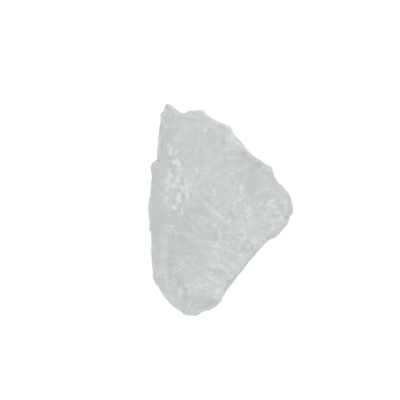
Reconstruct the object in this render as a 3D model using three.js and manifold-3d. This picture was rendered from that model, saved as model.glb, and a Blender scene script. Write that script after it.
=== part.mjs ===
// Raw aquamarine: one broken, unworked piece of pale beryl, about the size of a walnut.
//
// Units are millimetres and +Z is up. The stone lies on the flat break at its back, as it does when it is
// put down: +Y points to the horn at its narrow end, +X to the knob on its right flank. The origin is the
// centre of its box, on the surface that it rests on.
//
// The stone is made the way it came about. A rounded blank takes the outline of the fragment. Then it is cut
// down from above to one relief, in which the broad fracture faces meet at worn ridges and carry the chips,
// hummocks and ripples of the breaks, and it is broken away from below and along the growth lines of the old
// prism side.

import * as THREE from "three";
import { mergeVertices } from "three/addons/utils/BufferGeometryUtils.js";
import { ImprovedNoise } from "three/addons/math/ImprovedNoise.js";
import Module from "manifold-3d";

const wasm = await Module();
wasm.setup();

// ---------------------------------------------------------------- blank

const THICKNESS = 18; // from the surface that it lies on to the crown of the blank
const GIRDLE_LOW = 5.4; // the widest line round the stone is a narrow band between these heights
const GIRDLE_HIGH = 7.4;
const GIRDLE_WANDER = 2.4; // how far the band rises and falls round the stone
const WALL_ROUGHNESS = 0.09; // how far the walls are broken back between it and the base, as a share
const AXIS = new THREE.Vector2(-2, 0); // the whole outline can be seen from here
const RIM_STEP = 1.2; // spacing of the points along the outline

// The outline from above, counter-clockwise from the tip of the horn.
const OUTLINE = [
  // horn and left flank
  [-10.7, 21.2], [-11.1, 20.8], [-11.3, 19.8], [-12.1, 19.3], [-12.1, 17.6], [-12.4, 14.6], [-12.6, 11.8],
  [-12.5, 10.3],
  // left shoulder and the long left flank
  [-13.7, 9.3], [-14.1, 8.6], [-13.7, 7.0], [-13.9, 4.0], [-14.5, 0.4], [-14.1, -2.4], [-14.2, -3.8],
  [-13.7, -4.6], [-13.8, -8.8], [-13.5, -10.4], [-13.5, -13.4],
  // toe
  [-12.9, -14.5], [-11.5, -16.7], [-10.5, -18.2], [-9.4, -19.1], [-8.1, -20.2], [-6.9, -21.0], [-4.9, -21.2],
  [-3.6, -20.4], [-2.2, -20.0], [-0.8, -19.1], [0.1, -18.1], [0.5, -17.0], [1.1, -15.8],
  // lower right flank
  [2.6, -13.9], [4.1, -12.0], [6.6, -9.1], [7.8, -7.6], [9.1, -6.2], [10.9, -5.3],
  // knob
  [12.4, -3.8], [13.5, -2.2], [13.7, -1.1], [14.2, -0.7], [14.4, 0.5], [14.1, 1.9], [13.5, 3.3], [12.4, 4.7],
  [11.6, 5.3], [11.2, 6.1], [10.3, 8.0], [10.2, 8.5],
  // upper right flank
  [8.5, 9.5], [7.8, 10.1], [7.0, 10.3], [5.1, 12.2], [3.8, 13.7], [3.1, 14.5], [2.3, 15.5], [2.1, 16.5],
  // shoulder beside the horn
  [-0.8, 17.8], [-2.6, 18.9], [-3.5, 19.8], [-6.2, 19.7], [-7.4, 19.2], [-8.9, 20.0], [-10.0, 20.9],
].map(([x, y]) => new THREE.Vector2(x, y));

// How far out the blank reaches at each height, as a share of the outline. It starts and ends on the axis.
const PROFILE = [
  [0, 0], [0.78, 0], [0.9, 2], [0.97, 3.8], [1, GIRDLE_LOW], [1, GIRDLE_HIGH], [0.98, 9.4], [0.94, 11.4],
  [0.88, 13.4], [0.8, 15.2], [0, THICKNESS],
];

// ---------------------------------------------------------------- relief of the top

// The broad fracture faces: slightly uneven planes through `at`, facing `facing`. roll is how far a face
// undulates, and hollow is the radius of a dished one.
const TOP_FACES = [
  { at: [-1, 3, 16.3], facing: [0.03, -0.04, 1], roll: 0.3 }, // crown
  { at: [-5, 11.5, 14.6], facing: [-0.3, 0.34, 1], roll: 0.15 }, // smooth plane below the horn
  { at: [-5.5, -5, 14.2], facing: [-0.22, -0.16, 1], roll: 0.1, hollow: 60 }, // long left face
  { at: [5, 4, 13.4], facing: [0.44, 0.1, 1], roll: 0.25, hollow: 26 }, // saddle between crown and knob
  { at: [1.5, 12.5, 12.6], facing: [0.5, 0.5, 1], roll: 0.25, hollow: 45 }, // upper right
  { at: [2.5, -8.5, 12], facing: [0.52, -0.56, 1], roll: 0.2, hollow: 34 }, // lower right
  { at: [-3.5, -14.6, 11.8], facing: [0.12, -0.5, 1], roll: 0.2 }, // foot
  { at: [-5, -18.4, 10.4], facing: [-0.05, -1.2, 1], roll: 0.2 }, // toe
  { at: [-11.3, 14, 11.4], facing: [-1.9, 0.1, 1], roll: 0.1 }, // left flank beside the horn
  { at: [-11.6, -3, 11.6], facing: [-1.7, -0.05, 1], roll: 0.1 }, // left flank
  { at: [-10, -16, 9.6], facing: [-1.1, -0.85, 1], roll: 0.2 }, // left of the toe
  { at: [10.4, 1.2, 11.3], facing: [0.4, 0.05, 1], roll: 0.25 }, // knob
  { at: [10, -4, 9.6], facing: [0.45, -0.9, 1], roll: 0.25, hollow: 14 }, // knob, lower side
  { at: [11, 5, 9.4], facing: [0.9, 0.75, 1], roll: 0.2, hollow: 20 }, // knob, upper side
  { at: [-6, 18.3, 10.6], facing: [0.2, 0.75, 1], roll: 0.15 }, // between horn and shoulder
];
const EDGE_WEAR = 0.35; // how far apart two faces are where their ridge starts to round off

// Chips, hollow, and hummocks, standing out. Each has its half width, its half length and then its depth or
// height, and it's turned counter-clockwise by so many degrees.
const CHIPS = [
  { at: [-4.2, -4.6], size: [4.1, 7.4, 0.75], turn: -6 }, // the smooth window in the left face
  { at: [6.6, 5.4], size: [2.1, 4.6, 0.95], turn: 6 }, // valley before the knob
  { at: [-6.6, -13], size: [1.3, 3, 0.6], turn: -66 }, // band above the foot
  { at: [5.3, -7.2], size: [1.4, 1.4, 0.45], turn: 0 }, // ring-shaped dimple
  { at: [2.1, -0.8], size: [0.7, 1.7, 0.35], turn: 30 }, // groove below the crown
  { at: [10.2, -0.9], size: [0.6, 2.1, 0.7], turn: -80 }, // crevice across the knob
  { at: [0.6, -9.4], size: [2.8, 3.8, 0.4], turn: -40 }, // rippled hollow
  { at: [-4.4, -18.2], size: [2.6, 1.3, 0.4], turn: 8 }, // toe
  { at: [-0.8, 7.8], size: [3.6, 1.9, 0.3], turn: 12 }, // crown
  { at: [-5.4, 13.4], size: [2.2, 3.4, 0.3], turn: 25 }, // plane below the horn
  { at: [-9.8, 9.9], size: [0.8, 1.5, 0.5], turn: 35 }, // gap in the row of hummocks
  { at: [-12.2, 6], size: [0.9, 2.6, 0.4], turn: 4 }, // left flank, two shallow flakes
  { at: [-12.4, -8.6], size: [0.9, 3.6, 0.4], turn: 0 },
];
const HUMMOCKS = [
  // row down the left edge of the top
  { at: [-10.1, 12.6], size: [0.8, 1, 0.45], turn: 0 },
  { at: [-9.8, 11.2], size: [0.8, 0.9, 0.35], turn: -15 },
  { at: [-8.7, 9.3], size: [1.1, 0.8, 0.45], turn: -20 },
  { at: [-7.9, 8.2], size: [0.9, 1, 0.5], turn: -10 },
  { at: [-8.3, 6.2], size: [0.9, 1.2, 0.5], turn: 5 },
  { at: [-8.5, 4.6], size: [0.8, 0.9, 0.4], turn: 20 },
  { at: [-10.3, 7.4], size: [0.8, 1.1, 0.45], turn: -15 },
  { at: [-11.1, 5.8], size: [1, 1, 0.45], turn: 25 },
  { at: [-10.4, 4.5], size: [1, 1.2, 0.5], turn: 10 },
  { at: [-11, 2.9], size: [0.7, 1, 0.4], turn: 0 },
  { at: [-10.7, 1.5], size: [0.8, 0.9, 0.45], turn: 0 },
  { at: [-7, 5], size: [0.8, 1.3, 0.4], turn: -8 },
  { at: [-6.6, 3.4], size: [0.7, 1.1, 0.35], turn: 0 },
  { at: [-8.1, 2.7], size: [0.8, 1.4, 0.45], turn: 8 },
  { at: [-8.8, 0.9], size: [1.1, 0.9, 0.45], turn: 0 },
  { at: [-8, -0.7], size: [0.8, 0.8, 0.35], turn: 20 },
  // upper right
  { at: [2.3, 13.5], size: [2.1, 1.5, 0.65], turn: -25 },
  { at: [9.4, 7.8], size: [1.4, 0.7, 0.4], turn: -8 },
  { at: [-3.1, 15.9], size: [0.7, 1, 0.3], turn: -10 },
  { at: [-5.3, 18.4], size: [2.5, 0.7, 0.35], turn: -8 },
  // bands between the saddle and the dimple
  { at: [4.2, 3.4], size: [1, 2.2, 0.4], turn: 4 },
  { at: [5.5, -1.2], size: [0.9, 2.3, 0.45], turn: -6 },
  { at: [4.2, -5.2], size: [0.9, 1.4, 0.35], turn: 0 },
  { at: [5.3, -7.2], size: [0.7, 0.7, 0.35], turn: 0 },
  // knob
  { at: [9.9, 1.3], size: [1.4, 1.2, 0.55], turn: 20 },
  { at: [11.3, -2.4], size: [1.8, 0.9, 0.55], turn: 25 },
  { at: [12.4, 1.6], size: [1, 1.6, 0.4], turn: 20 },
  // foot
  { at: [-10.6, -13.4], size: [0.8, 0.9, 0.4], turn: 0 },
  { at: [-10, -14.7], size: [1, 0.7, 0.35], turn: 0 },
  { at: [-7.9, -15.8], size: [0.7, 1.3, 0.35], turn: 4 },
  { at: [-1.4, -13.2], size: [1.7, 0.7, 0.4], turn: -32 },
];
const RAGGED = 0.45; // how far their outlines stray from an ellipse

// Conchoidal ripples: they spread from the point `from`, and are seen within the ellipse given as above.
const RIPPLES = [
  { from: [-5.9, -19.5], at: [0.8, -9.2], size: [3.6, 4.6, 0.3], turn: -40, spacing: 2 }, // lower right
  { from: [-7, -9.2], at: [-1.4, -1], size: [2.8, 4.6, 0.22], turn: 60, spacing: 2.1 }, // across the window
  { from: [2.6, 13.8], at: [3.4, 9.6], size: [2.1, 4.2, 0.3], turn: 68, spacing: 2 }, // below the upper right
];

// Every broken face is scalloped, with crests between shallow hollows, and stepped with low ledges.
const SCALLOPS = { height: 0.6, apart: 3.4 };
const LEDGES = { height: 0.32, apart: 2.8, wander: 9 };
const RELIEF_SPAN = [56, 52]; // the grid that carries it covers the blank, also once it's leant over
const RELIEF_STEP = 0.66; // spacing of its points, and how far they stray from it
const RELIEF_STIR = 0.25;

// ---------------------------------------------------------------- breaks elsewhere

const UNDER_FACES = [
  { at: [-14, 2, 4], facing: [-1, 0.15, -0.8], roll: 0.3 },
  { at: [-13.6, -9, 4], facing: [-1, -0.3, -1], roll: 0.3 },
  { at: [-12.4, 15, 5], facing: [-1, 0.3, -0.9], roll: 0.25 },
  { at: [-5, 19.6, 4.4], facing: [0.1, 1, -0.9], roll: 0.25, hollow: 30 },
  { at: [13.8, 2, 4.4], facing: [1, 0.3, -0.8], roll: 0.3, hollow: 40 },
  { at: [12, -4.6, 4], facing: [0.7, -0.8, -0.7], roll: 0.3, hollow: 25 },
  { at: [5.4, -10.4, 4], facing: [0.75, -0.7, -0.75], roll: 0.3, hollow: 50 },
  { at: [-4, -21, 4], facing: [0.1, -1, -1], roll: 0.25, hollow: 40 },
  { at: [-10.5, -18, 4], facing: [-0.9, -0.8, -0.8], roll: 0.25 },
  { at: [6, 11.4, 4.4], facing: [0.7, 0.8, -0.9], roll: 0.3, hollow: 60 },
];
const FACE_SPAN = 50; // wide and deep enough to take all of the blank beyond the face
const FACE_DEPTH = 24;
const FACE_STEP = 2.2; // spacing of the points across a face

// Chips out of the underside, which face where they say.
const UNDER_CHIPS = [
  { at: [-11.4, 4.6, 1], facing: [-1, 0.1, -1.6], size: [3.4, 2, 0.7], turn: 80 },
  { at: [-11, -8, 1], facing: [-1, -0.1, -1.6], size: [4, 1.7, 0.7], turn: 95 },
  { at: [-3, -17.6, 1], facing: [-0.1, -1, -1.6], size: [3.6, 1.6, 0.7], turn: 10 },
  { at: [2.6, -9, 1], facing: [0.75, -0.7, -1.6], size: [4.2, 1.8, 0.7], turn: 40 },
  { at: [9.6, 1.6, 1], facing: [1, 0.1, -1.6], size: [2, 3.2, 0.7], turn: 5 },
  { at: [3.6, 10, 1.4], facing: [0.7, 0.8, -1.6], size: [3.2, 1.4, 0.6], turn: -35 },
  { at: [-6, 7.6, 0], facing: [0, 0, -1], size: [2.2, 3.8, 0.5], turn: -20 },
];
const BLUNT = 2; // such a chip is a cap of an ellipsoid this many times as deep
const CHIP_DETAIL = 1.1; // how finely it's divided for each millimetre of its half width

// Growth lines on the old prism side, which is the left flank: sets of fine grooves side by side.
const GROWTH_LINES = [
  { first: -13, last: -11.9, count: 3, from: -12.6, to: -2 },
  { first: -12.1, last: -11.6, count: 2, from: 10.6, to: 17 },
];
const GROWTH_LINE_WIDTH = 0.42;

// ---------------------------------------------------------------- shaping helpers

const UP = new THREE.Vector3(0, 0, 1);
const noise = new ImprovedNoise();

// Two octaves of soft noise, between about -1 and 1, at a point given in millimetres.
function roll(x, y, z, scale) {
  const fine = scale / 2.1;
  return noise.noise(x / scale, y / scale, z / scale) + 0.5 * noise.noise(x / fine, y / fine, z / fine);
}

// A closed geometry as a solid that can be joined and cut.
function solidOf(geometry) {
  geometry.deleteAttribute("normal");
  geometry.deleteAttribute("uv");
  const merged = mergeVertices(geometry, 1e-4);
  return new wasm.Manifold(
    new wasm.Mesh({
      numProp: 3,
      vertProperties: merged.attributes.position.array,
      triVerts: new Uint32Array(merged.index.array),
    }),
  );
}

// Moves every vertex of a geometry to where `move` puts it.
function reshape(geometry, move) {
  const position = geometry.attributes.position;
  const point = new THREE.Vector3();
  for (let i = 0; i < position.count; i++) {
    point.fromBufferAttribute(position, i);
    move(point, i);
    position.setXYZ(i, point.x, point.y, point.z);
  }
  return geometry;
}

// Turns a geometry's +Z to `facing` and puts its origin at `at`.
function place(geometry, at, facing) {
  const normal = new THREE.Vector3(...facing).normalize();
  geometry.applyQuaternion(new THREE.Quaternion().setFromUnitVectors(UP, normal));
  return geometry.translate(...at);
}

// How far a face stands off its own plane at x, y from its middle.
function unevenness({ at, roll: height, hollow }, x, y) {
  const bend = hollow ? (x * x + y * y) / (2 * hollow) : 0;
  return Math.min(bend, FACE_DEPTH / 2) + height * roll(x + at[0], y + at[1], at[2], 6);
}

// The lower of two heights, rounded off where they are close.
function wornMin(a, b) {
  const close = Math.max(EDGE_WEAR - Math.abs(a - b), 0) / EDGE_WEAR;
  return Math.min(a, b) - (close * close * EDGE_WEAR) / 4;
}

// 1 in the middle of an ellipse on the top, falling to 0 at its ragged outline.
function within({ at, size, turn }, x, y) {
  const angle = THREE.MathUtils.degToRad(turn);
  const [dx, dy] = [x - at[0], y - at[1]];
  const u = (dx * Math.cos(angle) + dy * Math.sin(angle)) / size[0];
  const v = (dy * Math.cos(angle) - dx * Math.sin(angle)) / size[1];
  if (Math.abs(u) > 2 || Math.abs(v) > 2) return 0;
  return Math.max(0, 1 - (u * u + v * v) * (1 + RAGGED * roll(x + at[0], y + at[1], 3, 3)));
}

// The height of the top of the stone at x, y.
function relief(x, y) {
  let z = 2 * THICKNESS;
  for (const face of TOP_FACES) {
    const [dx, dy] = [x - face.at[0], y - face.at[1]];
    const plane = face.at[2] - (dx * face.facing[0] + dy * face.facing[1]) / face.facing[2];
    z = wornMin(z, plane + unevenness(face, dx, dy));
  }
  for (const chip of CHIPS) z -= chip.size[2] * within(chip, x, y);
  for (const hummock of HUMMOCKS) z += hummock.size[2] * Math.sqrt(within(hummock, x, y));
  for (const { from, spacing, ...patch } of RIPPLES) {
    const wave = (2 * Math.PI * Math.hypot(x - from[0], y - from[1])) / spacing + roll(x, y, 5, 3);
    z += patch.size[2] * Math.sqrt(within(patch, x, y)) * (1 - 2 * Math.abs(Math.sin(wave / 2)));
  }
  z -= SCALLOPS.height * Math.abs(noise.noise(x / SCALLOPS.apart, y / SCALLOPS.apart, 11.5));
  const climb = (LEDGES.wander / LEDGES.apart) * roll(x, y, 17, LEDGES.wander);
  const tread = Math.floor(climb);
  return z + LEDGES.height * (tread + THREE.MathUtils.smoothstep(climb - tread, 0.7, 1) - climb);
}

// ---------------------------------------------------------------- the pieces of the shape

// Points along the outline, with every corner kept and none further apart than RIM_STEP.
function rim() {
  const points = [];
  OUTLINE.forEach((from, i) => {
    const to = OUTLINE[(i + 1) % OUTLINE.length];
    const steps = Math.ceil(from.distanceTo(to) / RIM_STEP);
    for (let s = 0; s < steps; s++) points.push(from.clone().lerp(to, s / steps));
  });
  return points;
}

// The blank: a turned profile whose every section is pulled out to the fragment's outline.
function blank() {
  const edge = rim();
  const profile = PROFILE.map(([share, height]) => new THREE.Vector2(share, height));
  const turned = new THREE.LatheGeometry(profile, edge.length);
  reshape(turned, (point, i) => {
    const spoke = edge[Math.floor(i / profile.length) % edge.length];
    const [share, height] = PROFILE[i % profile.length];
    const wander = GIRDLE_WANDER * roll(spoke.x, spoke.y, 0, 10) * Math.sin((Math.PI * height) / THICKNESS);
    const broken = share < 1 ? WALL_ROUGHNESS * Math.abs(roll(spoke.x, spoke.y, height, 4)) : 0;
    const out = share * (1 - broken);
    point.set(AXIS.x + out * (spoke.x - AXIS.x), AXIS.y + out * (spoke.y - AXIS.y), height + share * wander);
  });
  return solidOf(turned);
}

// All that is above the relief: a slab over the whole blank, with the relief as its underside. Its grid is
// leant over until its triangles have equal sides, and then stirred a little, so that no direction shows.
function aboveRelief() {
  const [across, along] = RELIEF_SPAN.map((span) => Math.round(span / RELIEF_STEP));
  const slab = new THREE.BoxGeometry(...RELIEF_SPAN, THICKNESS, across, along, 1);
  reshape(slab, (point) => {
    const [x, y] = [point.x + point.y * Math.cos(Math.PI / 3), point.y * Math.sin(Math.PI / 3)];
    point.x = x + RELIEF_STIR * noise.noise(x / RELIEF_STEP, y / RELIEF_STEP, 20.5);
    point.y = y + RELIEF_STIR * noise.noise(x / RELIEF_STEP, y / RELIEF_STEP, 30.5);
    point.z = point.z < 0 ? relief(point.x, point.y) : 2 * THICKNESS;
  });
  return solidOf(slab);
}

// All that a break takes away: a deep slab whose underside is the uneven fracture face.
function beyond(face) {
  const steps = Math.round(FACE_SPAN / FACE_STEP);
  const slab = new THREE.BoxGeometry(FACE_SPAN, FACE_SPAN, FACE_DEPTH, steps, steps, 1);
  slab.translate(0, 0, FACE_DEPTH / 2);
  reshape(slab, (point) => {
    if (point.z < FACE_DEPTH / 2) point.z = unevenness(face, point.x, point.y);
  });
  return solidOf(place(slab, face.at, face.facing));
}

// A rounded, slightly irregular chip.
function chipOut({ at, facing, size: [halfWidth, halfLength, depth], turn }) {
  const open = Math.sqrt(1 - ((BLUNT - 1) / BLUNT) ** 2); // how wide the ellipsoid is at the surface
  const detail = Math.round(Math.sqrt(halfWidth * halfLength) * CHIP_DETAIL);
  const ball = new THREE.IcosahedronGeometry(1, detail);
  reshape(ball, (point) => {
    point.multiplyScalar(1 + 0.14 * roll(point.x + at[0], point.y + at[1], point.z, 0.9));
    point.set((point.x * halfWidth) / open, (point.y * halfLength) / open, point.z * BLUNT * depth);
    point.z += (BLUNT - 1) * depth;
  });
  ball.rotateZ(THREE.MathUtils.degToRad(turn));
  return solidOf(place(ball, at, facing));
}

// A groove along the length of the left flank, sunk into the face that it runs down and fading at its ends.
function growthLine(x, from, to) {
  const groove = new THREE.CylinderGeometry(GROWTH_LINE_WIDTH, GROWTH_LINE_WIDTH, to - from, 4, 6);
  reshape(groove, (point) => {
    const y = point.y + (from + to) / 2;
    const fade = 1 - 0.7 * Math.abs((2 * point.y) / (to - from)) ** 2;
    point.set(point.x * fade + x, y, point.z * fade + relief(x, y) + GROWTH_LINE_WIDTH / 3);
  });
  return solidOf(groove);
}

// ---------------------------------------------------------------- the stone

let stone = blank().subtract(aboveRelief());
for (const face of UNDER_FACES) stone = stone.subtract(beyond(face));
for (const chip of UNDER_CHIPS) stone = stone.subtract(chipOut(chip));
for (const { first, last, count, from, to } of GROWTH_LINES) {
  for (let i = 0; i < count; i++) {
    stone = stone.subtract(growthLine(first + ((last - first) * i) / (count - 1), from, to));
  }
}

const { vertProperties, triVerts } = stone.getMesh();
const shape = new THREE.BufferGeometry();
shape.setAttribute("position", new THREE.BufferAttribute(vertProperties, 3));
shape.setIndex(new THREE.BufferAttribute(triVerts, 1));

// Centres the stone on the origin, on the surface that it lies on.
shape.computeBoundingBox();
const middle = shape.boundingBox.getCenter(new THREE.Vector3());
shape.translate(-middle.x, -middle.y, -shape.boundingBox.min.z);
shape.computeVertexNormals();

const beryl = new THREE.MeshStandardMaterial({ color: 0xcacfcc, roughness: 0.35, metalness: 0 });
const aquamarine = new THREE.Mesh(shape, beryl);
aquamarine.name = "aquamarine";

const part = new THREE.Group();
part.add(aquamarine);

export default part;
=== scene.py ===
# %% [markdown]
# # Raw aquamarine
#
# A piece of broken beryl, about 42 mm long, lies on a pale table in even studio light. It is clear
# inside, but its broken skin is frosted, so it looks milky: most of its look comes from how the skin
# bends and scatters light, and only a little from colour. The model has two levels. The solid from the
# CAD frame gives the stone's form down to about a millimetre, and this scene adds the fine breakage, the
# crystal and the light.

import math

import bpy
import numpy as np
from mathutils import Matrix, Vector, noise


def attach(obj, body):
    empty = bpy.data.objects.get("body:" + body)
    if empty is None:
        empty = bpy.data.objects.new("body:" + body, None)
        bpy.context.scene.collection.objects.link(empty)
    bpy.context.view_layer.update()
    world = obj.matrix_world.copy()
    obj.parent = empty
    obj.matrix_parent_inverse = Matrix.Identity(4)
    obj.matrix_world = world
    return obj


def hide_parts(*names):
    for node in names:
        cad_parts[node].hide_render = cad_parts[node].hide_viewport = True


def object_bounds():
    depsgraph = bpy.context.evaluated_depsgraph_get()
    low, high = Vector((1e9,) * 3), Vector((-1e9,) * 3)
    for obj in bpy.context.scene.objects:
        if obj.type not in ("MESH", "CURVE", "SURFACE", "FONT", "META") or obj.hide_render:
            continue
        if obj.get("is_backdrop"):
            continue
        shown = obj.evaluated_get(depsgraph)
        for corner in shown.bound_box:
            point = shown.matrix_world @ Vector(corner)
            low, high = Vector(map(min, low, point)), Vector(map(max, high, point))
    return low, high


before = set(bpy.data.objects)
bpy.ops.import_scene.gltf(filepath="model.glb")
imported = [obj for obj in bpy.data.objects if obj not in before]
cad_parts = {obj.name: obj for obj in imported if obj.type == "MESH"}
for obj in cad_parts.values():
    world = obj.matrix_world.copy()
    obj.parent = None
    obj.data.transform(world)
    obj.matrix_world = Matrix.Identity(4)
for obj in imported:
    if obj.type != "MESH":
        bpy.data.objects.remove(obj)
cad_low, cad_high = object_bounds()

MM = 0.001
print("stone:", [round(side / MM, 1) for side in cad_high - cad_low], "mm")

# %% [markdown]
# ## The skin of the stone
#
# The CAD node is a closed skin of flat triangles, finer in some places than in others. Carving needs
# points spread evenly over it. Subdivision would keep the slivers along the old cuts, so a copy of the
# node is merged and then remeshed in voxels, which gives even, nearly square faces everywhere.

# %% A finely divided copy of the solid
VOXEL = 0.2 * MM
SAME_POINT = 0.001 * MM

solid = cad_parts["aquamarine"]
stone = solid.copy()
stone.data = solid.data.copy()
stone.name = "raw_aquamarine"
bpy.context.scene.collection.objects.link(stone)

bpy.ops.object.select_all(action="DESELECT")
stone.select_set(True)
bpy.context.view_layer.objects.active = stone
bpy.ops.object.mode_set(mode="EDIT")
bpy.ops.mesh.select_all(action="SELECT")
bpy.ops.mesh.remove_doubles(threshold=SAME_POINT)
bpy.ops.object.mode_set(mode="OBJECT")

remesh = stone.modifiers.new("even skin", "REMESH")
remesh.mode = "VOXEL"
remesh.voxel_size = VOXEL
bpy.ops.object.modifier_apply(modifier=remesh.name)
print("skin:", len(stone.data.polygons), "faces")

# %% [markdown]
# ## Where each kind of break lies
#
# A beryl breaks differently from place to place: it leaves bumps along one edge, ripples below another,
# and fine growth lines on the old prism side. Each kind of carving gets a vertex group, whose weight says
# how strongly it shows at each point. The weights could be painted by hand. Here the places are written
# down as ellipses, in millimetres from the stone's middle, so that they can be read and changed. Noise
# bends their outlines, because no break stops along a clean curve. The ellipses are measured as an eye
# about 20 cm above the stone sees them. From there a high point looks further out than it is, so the
# points are spread in the same way before they are compared with an ellipse.

# %% Points and their neighbours


def skin_vectors(what):
    """One row for each point of the skin: its place ("co") or its normal ("normal")."""
    rows = np.empty(len(stone.data.vertices) * 3, np.float32)
    stone.data.vertices.foreach_get(what, rows)
    return rows.reshape(-1, 3)


edges = np.empty(len(stone.data.edges) * 2, np.int64)
stone.data.edges.foreach_get("vertices", edges)
edges = edges.reshape(-1, 2)
neighbours = np.bincount(edges.ravel()).astype(float)
places = skin_vectors("co") / MM
print("points:", len(places), "- edges:", len(edges))

# %% Which way the skin faces
FORM_ROUNDS = 10  # enough averaging to leave the form and none of the detail
BASE_HEIGHT, BASE_FADE = 0.4, 1.5
UP_FADE = 0.4


def averaged(vectors, rounds):
    """Each point's vector, averaged with its neighbours' as many times as asked."""
    for _ in range(rounds):
        total = vectors.astype(float)
        for axis in range(3):
            total[:, axis] += np.bincount(edges[:, 0], vectors[edges[:, 1], axis], len(vectors))
            total[:, axis] += np.bincount(edges[:, 1], vectors[edges[:, 0], axis], len(vectors))
        vectors = total / (neighbours[:, None] + 1)
    return vectors


leaning = averaged(skin_vectors("normal"), FORM_ROUNDS)
upward = leaning[:, 2] / np.linalg.norm(leaning, axis=1)
above_base = np.clip((places[:, 2] - BASE_HEIGHT) / BASE_FADE, 0, 1)
facing_up = np.clip(upward / UP_FADE, 0, 1)
print("facing up:", round(100 * float(facing_up.mean())), "% of the skin")

# %% Noise over the skin


def noise_at(points, size, apart=0):
    """A smooth random number for each point, from about -1 to 1, that changes over the given size."""
    return np.array([noise.noise(point) for point in ((points + apart) / size).tolist()])


def drift_at(points, size):
    """A smooth random direction for each point, that changes over the given size."""
    return np.column_stack([noise_at(points, size, apart) for apart in (23, 47, 71)])


def uneven(mean, swing, size, apart, least, most):
    """A smooth random strength for each point, round a mean and held between two limits."""
    return np.clip(mean + swing * noise_at(places, size, apart), least, most)


BENDS = [(0.5, 0.9, 0), (0.25, 0.7, 3.5)]  # how far, over what size, and how far apart in the noise
drift = sum(far * drift_at(places + apart, size) for far, size, apart in BENDS)
print("outlines are bent by up to", round(float(np.abs(drift).max()), 2), "mm")

# %% Places as seen from above
EYE = (-4.05, 2.05, 195.4)
WIDEST = 6.5  # the height of the stone's widest line, where a point keeps its place

spread = (EYE[2] - WIDEST) / (EYE[2] - places[:, 2])
seen = np.column_stack([EYE[axis] + (places[:, axis] - EYE[axis]) * spread for axis in (0, 1)])
print("points look up to", round(float(np.abs(seen - places[:, :2]).max()), 2), "mm from their place")

# %% Ellipses on the stone
STRAY, STRAY_BY_SIZE = 0.4, 0.5  # a small patch strays less, or noise would tear it apart


def patch(at, size, turn=0, soft=0.5):
    """How far each point is inside an ellipse seen from above: 1 inside it and 0 beyond its soft edge."""
    angle = math.radians(turn)
    stray = min(1, STRAY + STRAY_BY_SIZE * min(size))
    across = seen[:, 0] - at[0] + stray * drift[:, 0]
    along = seen[:, 1] - at[1] + stray * drift[:, 1]
    u = (across * math.cos(angle) + along * math.sin(angle)) / size[0]
    v = (along * math.cos(angle) - across * math.sin(angle)) / size[1]
    return np.clip((1 + soft - np.hypot(u, v)) / soft, 0, 1)


def patches(rows):
    """The strongest of several patches, each (strength, at, size, turn, soft)."""
    most = np.zeros(len(places))
    for strength, *shape in rows:
        most = np.maximum(most, strength * patch(*shape))
    return most


# %% Where the breaks lie
SMOOTH = [
    (0.9, (-8.6, 15.0), (3.0, 4.0), 10, 0.4),
    (0.8, (-4.8, 13.6), (2.6, 1.3), 0, 0.5),
    (0.7, (-2.6, 12.4), (1.6, 2.2), 0, 0.5),
    (0.5, (-1.2, 6.5), (2.4, 1.2), 0, 0.5),
    (0.7, (-4.0, 5.2), (2.2, 1.2), 0, 0.5),
    (0.7, (7.8, 4.2), (1.8, 1.8), 0, 0.5),
    (0.6, (-11.4, -0.5), (1.4, 6.0), 0, 0.5),
    (0.9, (-5.2, -2.2), (2.9, 4.6), 15, 0.4),
    (0.7, (-6.5, -8.2), (3.2, 2.0), 0, 0.4),
    (0.6, (-4.6, -9.6), (1.4, 4.0), 0, 0.5),
]
BREAKS = {
    "pitted": [
        (1.0, (-9.95, 12.0), (0.7, 1.2), 0, 0.4),
        (1.0, (-8.4, 8.8), (1.0, 1.2), 0, 0.4),
        (1.0, (-10.8, 4.4), (1.2, 3.5), 5, 0.4),
        (1.0, (-8.0, 3.6), (1.3, 4.4), 10, 0.4),
        (0.6, (-10.0, -3.6), (0.7, 2.2), 0, 0.5),
        (0.8, (-9.9, -13.8), (1.0, 1.2), 0, 0.5),
        (0.9, (-7.8, -15.9), (0.5, 1.2), 0, 0.4),
    ],
    "rippled": [
        (0.6, (0.6, 8.4), (4.6, 1.2), -8, 0.5),
        (0.7, (-1.4, -0.8), (3.6, 1.4), -25, 0.5),
        (1.0, (0.4, -8.8), (3.2, 2.4), -40, 0.4),
    ],
    "striated": [
        (1.0, (-11.9, 12.6), (0.8, 2.8), 0, 0.4),
        (1.0, (-12.6, -8.4), (1.1, 6.4), 0, 0.4),
    ],
    "lumpy": [
        (0.8, (2.4, 13.4), (1.8, 1.5), -30, 0.5),
        (0.9, (4.6, 0.6), (1.6, 5.4), -8, 0.5),
        (1.0, (10.8, -0.4), (2.4, 3.6), 0, 0.5),
        (0.7, (5.3, -7.0), (1.8, 1.8), 0, 0.5),
    ],
    "frosted": [
        (0.6, (2.4, 13.4), (1.8, 1.4), -30, 0.5),
        (0.5, (11.0, -2.6), (2.0, 1.0), 20, 0.5),
        (0.7, (0.4, -9.4), (2.6, 2.0), -40, 0.5),
        (1.0, (-3.2, -14.9), (3.2, 2.0), 0, 0.4),
        (1.0, (-0.6, -16.4), (1.2, 1.6), 30, 0.4),
    ],
}
smooth = patches(SMOOTH) * above_base
print("smooth:", round(100 * float((smooth > 0).mean())), "% of the skin")

# %% [markdown]
# Some breaks stand out one by one: the bumps of the pitted band, the lit lips of the ripples, the crest
# of the knob. They are small ellipses: a place, half a width, half a length and a turn. On their own they
# would look like grains of rice, so noise breaks each of them into uneven pieces.

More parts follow.
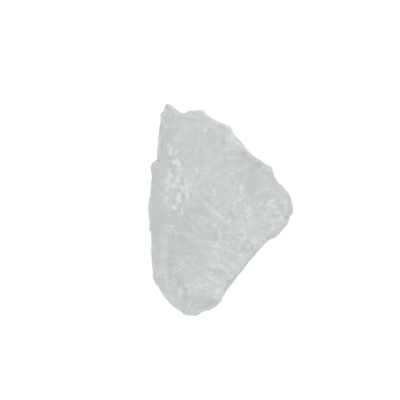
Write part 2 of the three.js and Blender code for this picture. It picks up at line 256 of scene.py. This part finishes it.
# %% Marks that stand out
MARKS = {
    "the pitted band": (1.0, [
        (-9.8, 13.1, 0.60, 0.30, 0), (-9.5, 12.2, 0.40, 0.50, 0), (-8.9, 11.9, 0.36, 0.40, 0),
        (-9.8, 11.4, 0.36, 0.30, 0), (-9.1, 9.5, 0.60, 0.28, -10), (-8.4, 9.9, 0.30, 0.30, 0),
        (-8.1, 9.1, 0.40, 0.50, 0), (-7.7, 8.2, 0.60, 0.36, 0), (-9.8, 7.7, 0.30, 0.60, 0),
        (-10.1, 6.5, 0.60, 0.52, 20), (-10.9, 5.9, 0.52, 0.40, 0), (-7.9, 6.9, 0.52, 0.52, 0),
        (-8.5, 5.7, 0.40, 0.36, 0), (-7.0, 5.7, 0.30, 0.80, 0), (-10.8, 4.7, 0.40, 0.40, 0),
        (-9.5, 4.9, 0.40, 0.90, 0), (-10.1, 4.0, 0.40, 0.32, 0), (-8.1, 4.5, 0.40, 0.36, 0),
        (-7.0, 4.2, 0.40, 0.72, 5), (-6.6, 2.9, 0.30, 0.52, 0), (-11.5, 3.2, 0.26, 0.40, 0),
        (-10.9, 2.1, 0.40, 0.50, -20), (-8.1, 2.7, 0.40, 0.70, 0), (-8.5, 1.7, 0.72, 0.44, 10),
        (-9.1, 0.5, 0.40, 0.30, 0), (-7.9, -0.2, 0.40, 0.36, 0), (-6.0, 4.7, 0.20, 0.90, 0),
        (-5.6, 3.5, 0.20, 0.40, 0),
    ]),
    "the top": (0.6, [
        (-3.1, 15.9, 0.24, 0.60, -15), (-4.7, 16.9, 0.20, 0.50, 0), (-1.7, 16.4, 0.60, 0.20, 20),
        (-11.8, 14.2, 0.20, 0.48, 0), (1.8, 14.2, 0.60, 0.40, 20), (2.8, 13.2, 0.64, 0.48, -10),
        (0.8, 15.5, 0.40, 0.24, 0), (-10.4, 20.1, 0.50, 0.20, -40), (-4.7, 8.1, 0.24, 0.80, 0),
        (-2.9, 7.5, 0.80, 0.20, -5), (-1.1, 6.9, 0.60, 0.20, 0), (0.2, 7.9, 0.24, 0.50, 0),
        (2.4, 7.1, 0.20, 0.70, 0), (-1.2, 3.9, 0.30, 0.52, 0), (1.2, 5.9, 0.20, 0.50, 10),
    ]),
    "the middle": (0.5, [
        (-3.1, 1.2, 0.50, 0.20, -30), (-1.9, 0.5, 0.50, 0.20, -25), (-0.5, -0.6, 0.60, 0.32, -30),
        (0.6, -1.2, 0.40, 0.28, -20), (-4.1, -1.0, 0.44, 0.20, -20), (-2.5, -2.0, 0.48, 0.24, -20),
        (-1.4, -2.8, 0.50, 0.20, -10), (-6.1, -5.0, 0.64, 0.20, -35), (-3.9, -5.2, 0.24, 0.24, 0),
        (1.6, -2.1, 0.32, 0.28, 0), (-9.7, -3.2, 0.48, 0.20, 0), (-10.1, -4.4, 0.30, 0.40, 0),
        (-8.4, -8.0, 0.32, 0.24, 0), (-6.3, -9.6, 0.52, 0.36, 0),
    ]),
    "the right side": (0.6, [
        (3.1, 4.7, 0.20, 0.64, 0), (4.2, 4.0, 0.50, 0.80, 0), (3.8, 2.9, 0.40, 0.60, 0),
        (4.5, 1.2, 0.60, 0.30, 10), (5.5, 0.5, 0.40, 0.70, 0), (5.2, -1.8, 0.60, 0.48, 20),
        (6.4, -2.8, 0.48, 0.48, 0), (4.3, -3.8, 0.40, 0.40, 0), (4.0, -5.8, 0.40, 0.70, 10),
        (5.2, -5.6, 0.52, 0.24, 0), (6.8, -6.0, 0.28, 0.70, 0), (9.6, 7.9, 0.72, 0.20, -18),
        (8.8, 6.2, 0.40, 0.20, 0), (10.0, 1.9, 0.60, 0.48, 0), (10.8, 0.5, 0.52, 0.56, 0),
        (9.6, 0.2, 0.48, 0.28, 30), (11.4, -1.6, 1.10, 0.30, 18), (9.8, -2.1, 0.50, 0.30, 10),
        (10.4, -3.6, 0.60, 0.28, 30), (13.0, 1.5, 0.40, 0.60, 0), (8.4, -3.0, 0.40, 0.24, 0),
    ]),
    "the ripples": (0.7, [
        (-1.4, -7.0, 0.90, 0.20, -32), (-1.9, -8.0, 0.72, 0.20, -25), (-0.7, -8.6, 0.90, 0.18, -35),
        (0.6, -8.0, 1.00, 0.18, -38), (1.6, -8.8, 1.00, 0.18, -38), (-0.3, -10.4, 0.80, 0.44, -15),
        (2.1, -10.4, 0.30, 0.64, 0), (3.0, -11.8, 0.60, 0.44, -30), (1.2, -11.6, 0.60, 0.24, -20),
        (-1.7, -11.2, 0.60, 0.24, 0), (4.3, -9.3, 0.80, 0.20, -40), (1.0, -6.4, 0.70, 0.18, -35),
    ]),
    "the foot": (0.6, [
        (-10.7, -13.4, 0.26, 0.40, 0), (-10.1, -14.2, 0.52, 0.24, 0), (-8.2, -13.2, 0.52, 0.20, -30),
        (-8.8, -12.2, 0.60, 0.18, 15), (-7.3, -11.2, 0.50, 0.18, 35), (-7.9, -15.8, 0.26, 0.80, 0),
        (-6.5, -15.0, 0.32, 0.48, 0), (-6.1, -16.4, 0.28, 0.48, 0), (-3.7, -13.6, 0.60, 0.20, -20),
        (-2.1, -13.6, 0.70, 0.20, -35), (-0.7, -14.4, 0.60, 0.32, -30), (-3.3, -15.0, 0.90, 0.48, 10),
        (-4.7, -15.6, 0.60, 0.40, 0), (-2.3, -16.4, 0.40, 0.20, 0), (-0.7, -16.0, 0.40, 0.60, 15),
        (-1.1, -17.4, 0.60, 0.36, 20), (0.4, -15.8, 0.24, 0.60, 30), (-9.8, -18.1, 0.68, 0.20, 42),
        (-6.3, -18.4, 0.40, 0.48, 0), (-5.5, -20.1, 0.26, 0.48, 0), (1.8, -13.4, 0.60, 0.20, 48),
    ]),
}
print("marks:", sum(len(rows) for _, rows in MARKS.values()))

# %% Break the marks up
MARK_SIZE, MARK_SOFT, MARK_GAIN = 0.8, 1.2, 1.2  # small, with a wide soft edge round a full middle
PIECE_SIZE, PIECE_NARROWER = 0.95, 1.3
PIECE_START, PIECE_EDGE = -0.3, 0.5  # the noise at which a piece starts, and how much more fills it

marks = np.zeros(len(places))
for strength, rows in MARKS.values():
    for x, y, width, length, turn in rows:
        size = (MARK_SIZE * width, MARK_SIZE * length)
        marks = np.maximum(marks, strength * patch((x, y), size, turn, MARK_SOFT))
lumps = noise_at(places * (PIECE_NARROWER, 1, 1), PIECE_SIZE, apart=9)
pieces = np.clip((lumps - PIECE_START) / PIECE_EDGE, 0, 1)
marks = np.clip(marks * MARK_GAIN, 0, 1) * pieces * facing_up
print("marks over", round(100 * float((marks > 0).mean())), "% of the skin")

# %% [markdown]
# Between the marks the skin is covered with short strokes, where the break tore along one direction. Long
# ones would look like fur, so they are hardly longer than wide, and noise fades them in and out. They run
# down to the right over most of the stone, upright near the upper right edge and on the old prism side,
# and across the knob.

# %% Strokes
STROKE_WIDTH, STROKE_LENGTH = 0.5, 1.1
DOWN_RIGHT, UPWARDS, OVER_KNOB = -38, 88, 24  # which way they run, in degrees
ON_SIDES, ON_TOP = 0.6, 0.4  # how strong they are on the sides, and how much stronger on top
UPRIGHT = [(1.0, (4.0, 5.6), (4.5, 4.0), 0, 0.4), (1.0, (-12.4, 6.0), (1.5, 14.0), 0, 0.3)]
KNOB = [(1.0, (10.0, -1.0), (3.0, 4.5), 0, 0.4)]
ROUGH = [
    (0.3, (-3.0, 16.2), (3.4, 1.0), 0, 0.5),
    (0.5, (8.2, -6.2), (3.4, 2.0), 40, 0.5),
    (0.5, (4.6, -7.0), (2.2, 3.0), 0, 0.5),
    (0.5, (-10.4, -14.4), (1.6, 1.8), 0, 0.5),
]


def strokes_at(turn):
    """Uneven strokes, from 0 to 1, all turned one way."""
    angle = math.radians(turn)
    along = places[:, 0] * math.cos(angle) + places[:, 1] * math.sin(angle)
    across = places[:, 1] * math.cos(angle) - places[:, 0] * math.sin(angle)
    turned = np.column_stack([along / STROKE_LENGTH, across / STROKE_WIDTH, places[:, 2] / STROKE_WIDTH])
    return np.clip(0.5 + noise_at(turned, 1), 0, 1)


upright, knob = patches(UPRIGHT), patches(KNOB)
strokes = strokes_at(DOWN_RIGHT) * (1 - upright) * (1 - knob)
strokes += strokes_at(UPWARDS) * upright
strokes += strokes_at(OVER_KNOB) * knob
strokes *= uneven(mean=0.75, swing=0.8, size=2.4, apart=7, least=0.25, most=1.25)
strokes *= (ON_SIDES + ON_TOP * facing_up) * (1 + patches(ROUGH))
print("strokes:", np.percentile(strokes, [5, 50, 95]).round(2))

# %% Vertex groups
WEIGHT_STEPS = 40
BROKEN_BASE, BROKEN_ABOVE = 0.7, 0.3  # the base is worn, so it is less broken than the rest
FULL_STROKE = 0.8


def mark(name, weights):
    """Makes a vertex group of the weights, in steps."""
    group = stone.vertex_groups.new(name=name)
    steps = np.rint(np.clip(weights, 0, 1) * WEIGHT_STEPS).astype(int)
    for step in range(1, WEIGHT_STEPS + 1):
        group.add(np.flatnonzero(steps == step).tolist(), step / WEIGHT_STEPS, "REPLACE")
    print(name, "covers", round(100 * float((steps > 0).mean())), "% of the skin")


mark("broken", (1 - smooth) * (BROKEN_BASE + BROKEN_ABOVE * above_base))
for name, rows in BREAKS.items():
    mark(name, patches(rows) * above_base)
mark("sides", (1 - facing_up) * above_base)
mark("raised", marks)
mark("stroked", FULL_STROKE * strokes * (1 - smooth))

# %% [markdown]
# ## The fine breakage
#
# The real surface is covered with breaks from half a millimetre to a millimetre across. They could be
# sculpted by hand, or painted as bump. Displace modifiers are used, because they move real points by a
# pattern that is easy to change. Hard clouds fold at their middle value, which gives the sharp crests
# that lie between the smooth hollows of a broken crystal. A pattern is drawn out by an empty that is
# stretched one way, which turns round grains into ridges. Folded clouds move the skin outwards on the
# whole, so the steep sides, which get the broadest hollows, are worn back first.

# %% Carving with patterns


def carve(name, height, where, pattern=None, stretch=None, turn=0):
    """Moves the marked points in or out along their normals, by a pattern or all by the same height."""
    press = stone.modifiers.new(name, "DISPLACE")
    press.vertex_group = where
    press.strength = height * MM
    press.mid_level = 0.5 if pattern else 0
    press.texture = pattern
    guide = None
    if stretch:
        bpy.ops.object.empty_add(rotation=(0, 0, math.radians(turn)))
        guide = bpy.context.object
        guide.scale = stretch
        bpy.context.view_layer.update()
        press.texture_coords = "OBJECT"
        press.texture_coords_object = guide
        bpy.context.view_layer.objects.active = stone
    bpy.ops.object.modifier_apply(modifier=press.name)
    if guide:
        bpy.data.objects.remove(guide)


def clouds(size, hard=False):
    """A cloud pattern with grains of about this size in millimetres. Hard ones have sharp folds."""
    made = bpy.data.textures.new("clouds", "CLOUDS")
    made.noise_scale = size * MM
    made.noise_depth = 0
    made.noise_basis = "IMPROVED_PERLIN"
    made.noise_type = "HARD_NOISE" if hard else "SOFT_NOISE"
    return made


carve("waves of the break", 0.22, "broken", clouds(1.8))
carve("ridges", -0.07, "broken", clouds(1.3, hard=True), stretch=(1.8, 1, 1), turn=-35)
carve("side wear", -0.16, "sides")
carve("side breaks", -0.35, "sides", clouds(2.6, hard=True), stretch=(1, 1, 0.6))
carve("hackle", -0.09, "broken", clouds(0.6, hard=True), stretch=(1.6, 1, 1), turn=-20)
carve("bumps", 0.22, "pitted", clouds(0.85), stretch=(1, 1.5, 1))
carve("ripples", -0.16, "rippled", clouds(0.7, hard=True), stretch=(5, 1, 1), turn=-38)
carve("growth lines", -0.15, "striated", clouds(0.45, hard=True), stretch=(1, 12, 12), turn=2)
carve("lumps", -0.18, "lumpy", clouds(1.1, hard=True))
carve("frosted grain", 0.08, "frosted", clouds(0.4))
carve("raised marks", 0.13, "raised")
carve("strokes", 0.15, "stroked")

# %% [markdown]
# A carved point may leave the solid's box, or go below the table. Both are pushed back to the box, which
# also leaves the base flat where it touches, with pits between, as a worn base has.

# %% Keep the size
MARGIN = 0.001

carved = skin_vectors("co") / MM
low, high = np.array(cad_low) / MM, np.array(cad_high) / MM
kept = np.clip(carved, low + MARGIN, high - MARGIN)
stone.data.vertices.foreach_set("co", (kept * MM).astype(np.float32).ravel())
stone.data.update()
moved = np.linalg.norm(kept - places, axis=1)
print("moved by carving, mm:", np.percentile(moved, [50, 95, 100]).round(2))

# %% [markdown]
# ## Where the skin is crushed white, and where light and shade are painted
#
# Where the crystal was crushed it is full of tiny cracks, which scatter light and look white. That is so
# on every crest that was rubbed, on the marks, and over whole parts of the edge. Not all of this white is
# frost: the marks and crests are whitened partly as painted highlights, the hollows and the steep rim are
# darkened as painted shade, and patches of tone lighten or darken parts as painted light and shade. Two
# ways were tried. A higher share of the frosted shader makes such places darker, because frost keeps
# light out of the clear inside, so the share is kept nearly even and the frost itself is whitened. How
# high a point stands over the average of its neighbours tells a crest from a hollow. All of it is worked
# out once and kept on the points, for the material to read.

# %% Crests and ridges
CREST_ROUNDS, RIDGE_ROUNDS, GROUND_ROUNDS = 2, 3, 14

normals = skin_vectors("normal")
crest = ((kept - averaged(kept, CREST_ROUNDS)) * normals).sum(axis=1)
ridge = ((averaged(kept, RIDGE_ROUNDS) - averaged(kept, GROUND_ROUNDS)) * normals).sum(axis=1)
print("crests, mm:", np.percentile(crest, [1, 25, 50, 75, 99]).round(3))
print("ridges, mm:", np.percentile(ridge, [1, 25, 50, 75, 99]).round(3))

# %% Steep skin


def steepness(lean, start, fade):
    """How steep the skin is: 0 where it leans less than the start, and 1 where it is past the fade."""
    return np.clip((start - np.abs(lean)) / fade, 0, 1)


rim = steepness(normals[:, 2], start=0.45, fade=0.4)
steep = steepness(upward, start=0.8, fade=0.5)
print("steep:", round(100 * float((steep > 0).mean())), "% of the skin")

# %% Whiter and clearer parts, and painted light and shade
# Partly the stone's own milky and clearer places, and partly painted light and shade: these patches
# lighten or darken parts to level how bright they look from above under this light.
PAINTED_LIGHT_AND_TONE = [  # each (how much whiter, at, size, turn, soft)
    # the top edge
    (0.20, (-6.0, 18.1), (7.0, 1.6), 0, 0.6),
    (-0.30, (-12.0, 17.8), (0.5, 2.0), 0, 0.8),
    (-0.15, (-10.9, 20.8), (0.8, 0.5), 0, 0.8),
    (0.12, (-10.2, 18.4), (1.4, 1.4), 0, 0.8),
    (0.18, (-3.2, 18.3), (1.6, 0.8), 0, 0.8),
    (0.22, (0.4, 16.4), (2.2, 1.0), -35, 0.8),
    (0.32, (2.7, 12.8), (1.4, 0.8), -20, 0.8),
    # the upper part
    (0.12, (-9.0, 15.6), (2.0, 1.2), 0, 0.8),
    (-0.15, (-11.2, 13.0), (0.7, 2.0), 0, 0.8),
    (0.12, (-9.4, 12.2), (0.8, 2.2), 0, 0.8),
    (-0.12, (5.4, 10.8), (2.6, 0.4), -42, 0.8),
    (-0.08, (-4.8, 9.6), (1.4, 1.2), 0, 0.8),
    (-0.07, (5.4, 6.4), (1.6, 3.0), 0, 0.8),
    # the left side
    (-0.15, (-12.7, 1.5), (1.2, 8.0), 0, 0.7),
    (0.14, (-14.1, 3.6), (0.5, 4.2), 0, 0.8),
    (-0.12, (-10.6, 9.4), (0.6, 1.8), 0, 0.8),
    (0.10, (-10.3, 5.0), (0.7, 2.0), 0, 0.8),
    (-0.10, (-8.7, 4.4), (0.8, 0.9), 0, 0.8),
    (0.12, (-7.2, 2.6), (1.0, 2.0), -20, 0.8),
    (0.10, (-6.6, 8.6), (0.8, 1.2), 0, 0.8),
    (-0.10, (-9.0, -5.5), (3.4, 5.0), 0, 0.6),
    (0.20, (-13.4, -10.0), (0.6, 3.0), 0, 0.8),
    (0.09, (-11.8, -7.6), (1.2, 1.8), 0, 0.8),
    # the middle
    (0.12, (5.2, -2.5), (1.0, 2.0), 0, 0.8),
    (0.12, (-2.4, -1.8), (1.2, 2.4), 0, 0.8),
    (0.10, (2.4, 2.2), (1.1, 1.8), -30, 0.8),
    (-0.10, (0.4, -5.0), (0.9, 1.4), 0, 0.8),
    (-0.09, (-2.6, 2.2), (1.4, 2.4), 0, 0.8),
    # the knob
    (0.40, (10.8, -1.0), (1.5, 0.6), 0, 0.8),
    (0.14, (10.6, 2.2), (2.6, 2.4), 0, 0.8),
    (0.10, (9.2, 8.0), (1.0, 1.0), 0, 0.8),
    (0.18, (10.3, -4.7), (2.0, 0.9), 35, 0.8),
    # the lower right edge
    (0.26, (7.1, -6.6), (1.2, 0.9), 50, 0.8),
    (0.10, (4.7, -9.1), (1.5, 0.9), 50, 0.8),
    (0.25, (2.5, -12.1), (2.8, 0.9), 50, 0.8),
    (-0.10, (7.0, -9.0), (3.6, 0.4), 48, 0.8),
    # a small round chip near that edge, pale round a hollow that is darkened as painted shade
    (0.14, (5.4, -7.2), (1.8, 1.8), 0, 0.3),
    (-0.34, (5.3, -7.2), (1.15, 1.15), 0, 0.3),
    (0.34, (5.4, -7.0), (0.5, 0.5), 0, 0.6),
    # the foot
    (-0.09, (-4.8, -11.6), (2.0, 1.2), 0, 0.8),
    (-0.07, (0.4, -13.8), (1.2, 0.9), 0, 0.8),
    (0.18, (-0.7, -16.8), (0.8, 0.9), 0, 0.8),
    (0.16, (-9.6, -18.2), (1.4, 0.7), -45, 0.8),
    (0.14, (-5.4, -19.8), (1.4, 0.9), 0, 0.8),
    (0.12, (-12.0, -15.8), (1.2, 0.7), -50, 0.8),
    (0.10, (-10.6, -17.0), (1.2, 1.2), -45, 0.8),
    (-0.12, (-9.1, -14.5), (0.7, 2.0), 0, 0.8),
]
print("patches of tone:", len(PAINTED_LIGHT_AND_TONE))

# %% [markdown]
# The colour is uneven too. Iron tints beryl blue or green, and the tint changes through the crystal,
# while rust has warmed a few worn parts near the edges. Noise alone was tried first, but it puts the
# tints anywhere, so each tint has its own soft patches, and they are only a shade apart.

# %% Warmer, greener and bluer parts
WARM = [
    (1.0, (9.8, -0.6), (1.8, 2.2), 0, 0.8),
    (0.7, (5.4, 3.4), (2.6, 3.2), 0, 0.8),
    (0.8, (9.2, 8.0), (1.4, 1.2), 0, 0.8),
    (1.0, (3.0, 13.0), (1.8, 2.8), 20, 0.8),
    (0.8, (-2.8, -14.2), (2.8, 1.2), 0, 0.8),
    (0.7, (-0.2, -9.2), (2.0, 2.6), 0, 0.8),
    (0.6, (-12.2, 14.4), (0.5, 3.4), 0, 0.8),
    (0.6, (-7.2, -12.0), (1.4, 2.8), 0, 0.8),
]
GREEN = [
    (1.0, (1.6, 8.4), (7.6, 3.4), -12, 0.8),
    (1.0, (-0.8, 15.8), (1.0, 2.6), -20, 0.8),
    (1.0, (-11.8, -12.0), (1.4, 3.4), -20, 0.8),
    (1.0, (-6.8, -17.0), (4.2, 1.6), -25, 0.8),
    (1.0, (-13.6, 0.6), (0.8, 3.0), 0, 0.8),
]
BLUE = [
    (1.0, (-10.4, 15.2), (1.4, 1.6), 0, 0.8),
    (1.0, (6.2, -7.8), (3.6, 1.2), 48, 0.8),
    (1.0, (-4.6, -5.4), (4.6, 3.0), -20, 0.8),
    (1.0, (11.2, -4.4), (2.4, 0.8), 42, 0.8),
]
print("tinted patches:", len(WARM + GREEN + BLUE))

# %% Numbers kept on the points


def keep_on_points(name, values):
    """Keeps a number from 0 to 1 on each point, for the material to read."""
    kept_as = stone.data.attributes.new(name, "FLOAT", "POINT")
    kept_as.data.foreach_set("value", np.clip(values, 0, 1).astype(np.float32))
    print(name, np.percentile(values, [5, 50, 95]).round(2))


def scaled(heights, full, least, most):
    """Heights as shares of a full one, held between two limits."""
    return np.clip(heights / full, least, most)


# %% How white
WHITE_ALL, WHITE_MARKS, WHITE_FROSTED = 0.3, 0.4, 0.1
WHITE_CRESTS, WHITE_RIDGES = 0.24, 0.05
# Painted shade: the steep rim, where the skin turns away, is made less white, so the outline looks
# darker.
RIM_PAINTED_SHADE = 0.16  # the steep rim is less white

# The marks are whitened partly as crushed frost and partly as painted highlights, where glints would
# catch the light.
white = WHITE_ALL + WHITE_MARKS * marks + WHITE_FROSTED * patches(BREAKS["frosted"])
# Partly painted light: crests are whitened as rubbed frost and also as painted highlights, and hollows
# below their neighbours are made less white as painted shade. The ridges work the same way at a larger
# size.
white += WHITE_CRESTS * scaled(crest, full=0.026, least=-0.35, most=1.3)
white += WHITE_RIDGES * scaled(ridge, full=0.1, least=-0.5, most=1)
# painted shade along the steep rim
white -= RIM_PAINTED_SHADE * rim * uneven(mean=0.6, swing=0.8, size=3, apart=3, least=0, most=1)
# painted light and shade, with some real milkiness, from the patches of tone
for amount, *shape in PAINTED_LIGHT_AND_TONE:
    white += amount * patch(*shape) * facing_up
keep_on_points("white", white)

# %% How warm, how green and how milky
GREEN_ALL, GREEN_MORE, GREEN_LESS = 0.2, 0.8, 0.3
GREEN_SWING, GREEN_SIZE = 0.15, 5
MILKY, MILKY_SIDES = 0.62, 0.07

green = GREEN_ALL + GREEN_MORE * patches(GREEN) - GREEN_LESS * patches(BLUE)
keep_on_points("warm", patches(WARM) * facing_up)
keep_on_points("green", green + GREEN_SWING * noise_at(places, GREEN_SIZE))
keep_on_points("milky", MILKY + MILKY_SIDES * steep)

# %% Smooth shading
bpy.ops.object.select_all(action="DESELECT")
stone.select_set(True)
bpy.ops.object.shade_smooth()
print("finished skin:", len(stone.data.polygons), "faces")

# %% [markdown]
# ## The crystal
#
# The stone is two things at once, so its material mixes two shaders. The clear one bends light as beryl
# does, with an index of 1.577, and what goes far through it takes on a faint sea green. The frosted one
# is matt, and goes from grey green to white where it is crushed and where highlights are painted in; it
# is also painted darker as shade in hollows and at the steep rim. Volume scattering would look milky too,
# but it is slow and grainy, and the real cloud sits near the skin. A fine grain, too small to carve,
# breaks up the shine of both. The helpers below let the sums of a material be written as plain
# expressions.

# %% Material helpers


class Wire:
    """A number worked out in a material. The operators + - and * on it add Math nodes."""

    def __init__(self, recipe, socket):
        self.recipe, self.socket = recipe, socket

    def sum_with(self, operation, first, second):
        """A Math node's result for two numbers or wires."""
        return self.recipe.node("ShaderNodeMath", {"operation": operation}, {0: first, 1: second})

    def __add__(self, other):
        return self.sum_with("ADD", self, other)

    def __radd__(self, other):
        return self.sum_with("ADD", other, self)

    def __sub__(self, other):
        return self.sum_with("SUBTRACT", self, other)

    def __rsub__(self, other):
        return self.sum_with("SUBTRACT", other, self)

    def __mul__(self, other):
        return self.sum_with("MULTIPLY", self, other)

    def __rmul__(self, other):
        return self.sum_with("MULTIPLY", other, self)


class Recipe:
    """A material's nodes, added one by one."""

    def __init__(self, name):
        self.material = bpy.data.materials.new(name)
        self.material.use_nodes = True
        self.tree = self.material.node_tree
        self.tree.nodes.clear()

    def node(self, kind, settings=None, inputs=None, output=0):
        """Adds a node, with its settings first and then the values or wires of its sockets."""
        made = self.tree.nodes.new(kind)
        for key, value in (settings or {}).items():
            setattr(made, key, value)
        for key, value in (inputs or {}).items():
            if isinstance(value, Wire):
                self.tree.links.new(value.socket, made.inputs[key])
            else:
                made.inputs[key].default_value = value
        return Wire(self, made.outputs[output]) if made.outputs else None

    def kept(self, name):
        """The number that is kept on the points under this name."""
        return self.node("ShaderNodeAttribute", {"attribute_name": name}, output="Fac")

    def blend(self, share, first, second):
        """A colour between two others."""
        return self.node("ShaderNodeMix", {"data_type": "RGBA"}, {0: share, 6: first, 7: second}, 2)

    def grain(self, size, detail):
        """Noise in the stone's own coordinates, with grains of about this size in millimetres."""
        own = self.node("ShaderNodeTexCoord", output="Object")
        sockets = {"Vector": own, "Scale": 1 / (size * MM), "Detail": detail}
        return self.node("ShaderNodeTexNoise", inputs=sockets)


# %% Colours and numbers of beryl
CLEAR_BLUE, CLEAR_GREEN = (0.94, 0.99, 0.975, 1), (0.945, 0.99, 0.965, 1)
FROST_BLUE, FROST_GREEN = (0.488, 0.525, 0.517, 1), (0.498, 0.527, 0.50, 1)
# The last colour is the white of crushed frost, and also the colour of the painted highlights on marks
# and crests.
FROST_WARM, CRUSHED_AND_HIGHLIGHT_WHITE = (0.533, 0.52, 0.507, 1), (0.84, 0.87, 0.86, 1)
DEEP_COLOUR, DEEP_DENSITY = (0.65, 0.76, 0.735, 1), 20.0
BERYL_IOR = 1.577
GRAIN_SIZE, GRAIN_DETAIL, GRAIN_DEPTH = 0.35, 3, 0.05 * MM
SPECKLE = 0.5
print("beryl bends light by an index of", BERYL_IOR)

# %% Beryl
beryl = Recipe("beryl")
tint = beryl.kept("green")
fine = beryl.grain(GRAIN_SIZE, GRAIN_DETAIL)
relief = beryl.node("ShaderNodeBump", inputs={"Strength": 0.5, "Distance": GRAIN_DEPTH, "Height": fine})
frost = beryl.blend(beryl.kept("warm"), beryl.blend(tint, FROST_BLUE, FROST_GREEN), FROST_WARM)
# How white the frost is: crushed frost, with painted highlights on marks and crests, and painted shade in
# hollows, along the rim and in some patches of tone.
crushed_and_painted_light = beryl.kept("white") + SPECKLE * (fine - 0.5)
clear = beryl.node(
    "ShaderNodeBsdfPrincipled",
    inputs={
        "Base Color": beryl.blend(tint, CLEAR_BLUE, CLEAR_GREEN),
        "Roughness": 0.3 + 0.2 * fine,
        "IOR": BERYL_IOR,
        "Transmission Weight": 1.0,
        "Normal": relief,
    },
)
frosted = beryl.node(
    "ShaderNodeBsdfPrincipled",
    inputs={
        "Base Color": beryl.blend(crushed_and_painted_light, frost, CRUSHED_AND_HIGHLIGHT_WHITE),
        "Roughness": 0.35 + 0.3 * fine,
        "IOR": BERYL_IOR,
        "Normal": relief,
    },
)
body = beryl.node("ShaderNodeMixShader", inputs={0: beryl.kept("milky"), 1: clear, 2: frosted})
depth = beryl.node("ShaderNodeVolumeAbsorption", inputs={"Color": DEEP_COLOUR, "Density": DEEP_DENSITY})
beryl.node("ShaderNodeOutputMaterial", inputs={"Surface": body, "Volume": depth})

stone.data.materials.clear()
stone.data.materials.append(beryl.material)
print("beryl:", len(beryl.tree.nodes), "nodes")

# %% Ride on the frame
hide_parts("aquamarine")
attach(stone, "root")

# %% [markdown]
# ## Table, light and camera
#
# The stone lies on a pale table and is seen from straight above. A grey table lit from above would need a
# very strong light to look white, and that light would drown the stone, so the table gives off most of
# its own light, as a light table does. The room is evenly white. One soft light, high over the stone,
# picks out the crests without making one side of the stone brighter than the other.

# %% The table
TABLE_SIDE = 4  # metres
TABLE_GAP = 0.01 * MM  # so that the table and the stone's base don't share a plane
TABLE_GLOW, TABLE_GREY = 0.95, 0.15

bpy.ops.mesh.primitive_plane_add(size=TABLE_SIDE, location=(0, 0, -TABLE_GAP))
table_top = bpy.context.object
table_top.name = "table"
pale = Recipe("pale table")
glow = pale.node("ShaderNodeEmission", inputs={"Color": (1, 1, 1, 1), "Strength": TABLE_GLOW})
matt = pale.node("ShaderNodeBsdfDiffuse", inputs={"Color": (TABLE_GREY, TABLE_GREY, TABLE_GREY, 1)})
both = pale.node("ShaderNodeAddShader", inputs={0: glow, 1: matt})
pale.node("ShaderNodeOutputMaterial", inputs={"Surface": both})
table_top.data.materials.append(pale.material)
table_top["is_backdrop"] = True

# %% Light
room = bpy.data.worlds.new("studio")
bpy.context.scene.world = room
room.use_nodes = True
walls = room.node_tree.nodes["Background"]
walls.inputs["Color"].default_value = (1, 1, 1, 1)
walls.inputs["Strength"].default_value = 1.0


def softbox(name, place, aim, size, power):
    """A square light at a place, in millimetres, turned to what it lights."""
    bpy.ops.object.light_add(type="AREA", location=Vector(place) * MM)
    lamp = bpy.context.object
    lamp.name = name
    lamp.data.size = size * MM
    lamp.data.energy = power
    lamp.rotation_euler = (Vector(aim) * MM - lamp.location).to_track_quat("-Z", "Y").to_euler()
    print(name, "is", round(lamp.location.length / MM), "mm away")


softbox("key light", place=(30, 30, 280), aim=(0, 0, 8), size=120, power=0.08)

# %% Camera
MIDDLE = (-4.05, 2.05)
SPAN = 80  # the view's width in millimetres, at the height of the stone's widest line
LENS, SENSOR = 85, 36
HEIGHT = SPAN * LENS / SENSOR + WIDEST

place = (MIDDLE[0] * MM, MIDDLE[1] * MM, HEIGHT * MM)
bpy.ops.object.camera_add(location=place, rotation=(0, 0, 0))
camera = bpy.context.object
camera.data.lens = LENS
camera.data.sensor_width = SENSOR
camera.data.clip_start, camera.data.clip_end = 0.005, 20
bpy.context.scene.camera = camera
bpy.context.scene.view_settings.view_transform = "Standard"
print("camera height:", round(HEIGHT), "mm")

# %% Sizes and finish
low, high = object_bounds()
